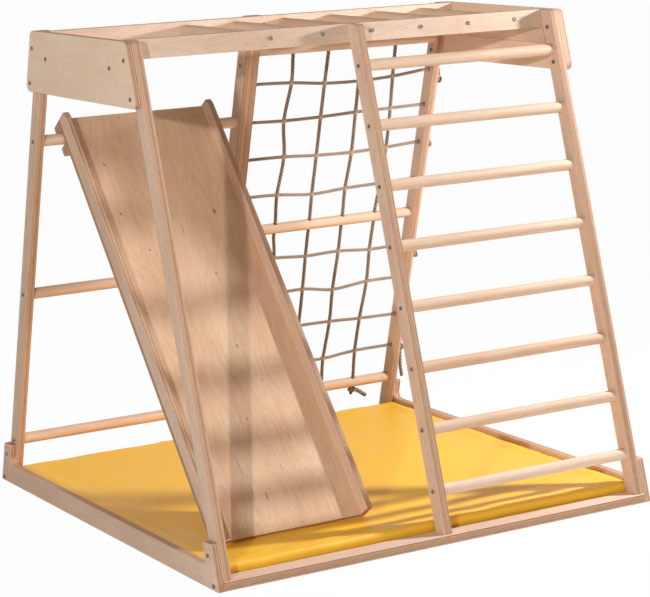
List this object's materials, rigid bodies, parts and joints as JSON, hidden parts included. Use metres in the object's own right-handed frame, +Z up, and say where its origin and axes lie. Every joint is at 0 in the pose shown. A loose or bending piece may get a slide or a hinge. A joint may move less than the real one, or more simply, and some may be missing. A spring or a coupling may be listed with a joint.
{
  "type": "indoor climbing frame",
  "caption": "Wooden indoor climbing frame with a hook-on slide, ladder bars, overhead bars, a rope net and a padded floor mat.",
  "frame": {"origin": "on the floor under the middle of the frame", "axes": "+X along the frame's front from the slide to the ladder, +Y from the front to the back, +Z up"},
  "size_m": [1.2052, 1.185, 1.182],
  "materials": {
    "birch_plywood": "clear satin varnish over pale birch plywood",
    "beech": "clear satin varnish over turned beech",
    "mat_cover": "orange-yellow coated-fabric cover, satin",
    "rope": "twisted dark brown rope",
    "steel": "dark plated screws and bolts"
  },
  "bodies": {
    "frame": {"back_base_rail": "birch_plywood", "back_bottom_rung": "beech", "back_ladder_post": "birch_plywood", "back_left_post": "birch_plywood", "back_middle_rung": "beech", "back_right_post": "birch_plywood", "back_rung_screws": "steel", "back_top_rail": "birch_plywood", "base_screws": "steel", "bolt_nuts": "steel", "cleat_screws": "steel", "double_post_bolts": "steel", "ear_screws": "steel", "end_board_bolts": "steel", "foot_screws": "steel", "front_base_rail": "birch_plywood", "front_left_post": "birch_plywood", "front_middle_post": "birch_plywood", "front_right_post": "birch_plywood", "front_top_rail": "birch_plywood", "hidden_rung_screws": "steel", "ladder_rung_1": "beech", "ladder_rung_2": "beech", "ladder_rung_3": "beech", "ladder_rung_4": "beech", "ladder_rung_5": "beech", "ladder_rung_6": "beech", "ladder_rung_7": "beech", "ladder_rung_8": "beech", "ladder_screws": "steel", "left_base_board": "birch_plywood", "left_cleat": "birch_plywood", "left_end_board": "birch_plywood", "mat": "mat_cover", "net_bottom_rung": "beech", "net_left_post": "birch_plywood", "net_middle_rung": "beech", "net_tail": "rope", "net_top_rung": "beech", "rail_screws": "steel", "right_base_board": "birch_plywood", "right_cleat": "birch_plywood", "right_end_board": "birch_plywood", "rope_knots": "rope", "rope_net": "rope", "slide_rung": "beech", "top_rung_1": "beech", "top_rung_2": "beech", "top_rung_3": "beech", "top_rung_4": "beech", "top_rung_5": "beech", "top_rung_6": "beech", "top_rung_screws": "steel"},
    "slide": {"slide_board": "birch_plywood", "slide_left_cheek": "birch_plywood", "slide_right_cheek": "birch_plywood", "slide_upper_batten": "birch_plywood", "slide_lower_batten": "birch_plywood", "slide_screws": "steel"}
  },
  "joints": [
    {"name": "slide_tilt", "type": "hinge", "parent": "frame", "child": "slide", "pos_m": [0, 0.31384, 0.9076], "axis": [-1, 0, 0], "range_deg": [0, 68]}
  ]
}
